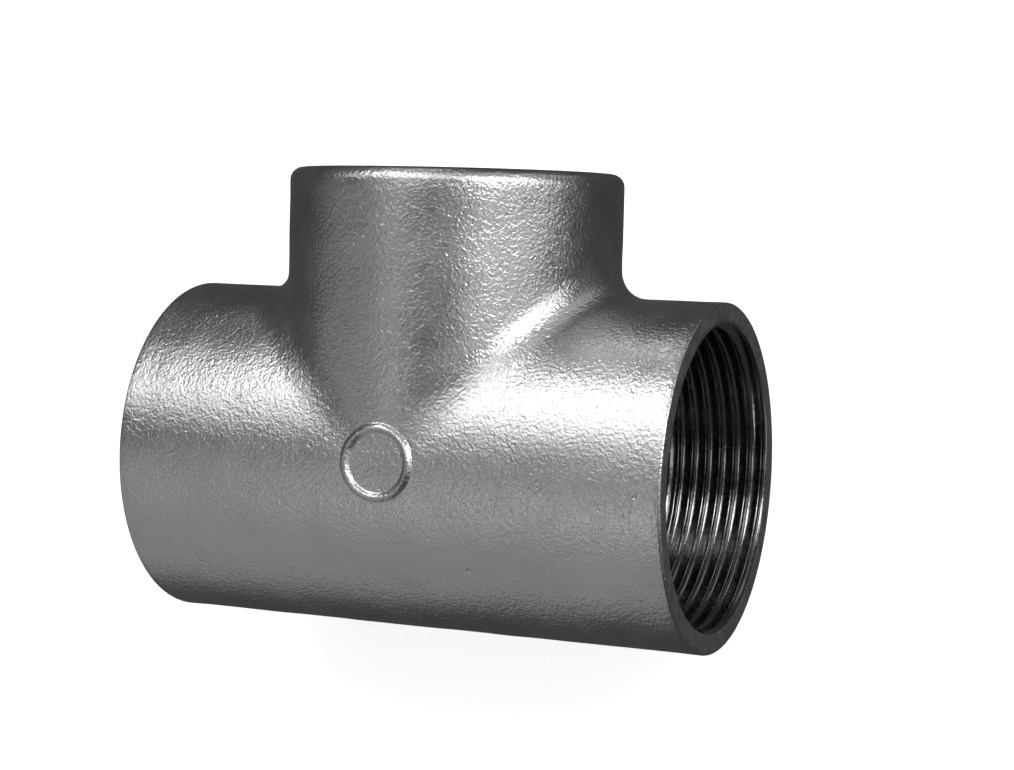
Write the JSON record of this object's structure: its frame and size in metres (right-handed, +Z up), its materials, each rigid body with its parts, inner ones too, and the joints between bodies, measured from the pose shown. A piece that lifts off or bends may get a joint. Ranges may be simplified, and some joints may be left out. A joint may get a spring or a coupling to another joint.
{
  "type": "galvanized reducing tee",
  "caption": "Galvanized cast-iron pipe tee with internal pipe threads: a straight run and a branch at right angles with a smaller thread.",
  "frame": {"origin": "middle of the footprint, on the surface that the tee lies on", "axes": "+X along the run, +Y along the branch towards its mouth, +Z up, out of the casting's front with the raised ring"},
  "size_m": [0.0888, 0.0716, 0.0534],
  "materials": {
    "galvanized_iron": "hot-dip galvanized, satin, over a fine casting texture"
  },
  "bodies": {
    "root": {"tee_body": "galvanized_iron"}
  },
  "joints": []
}
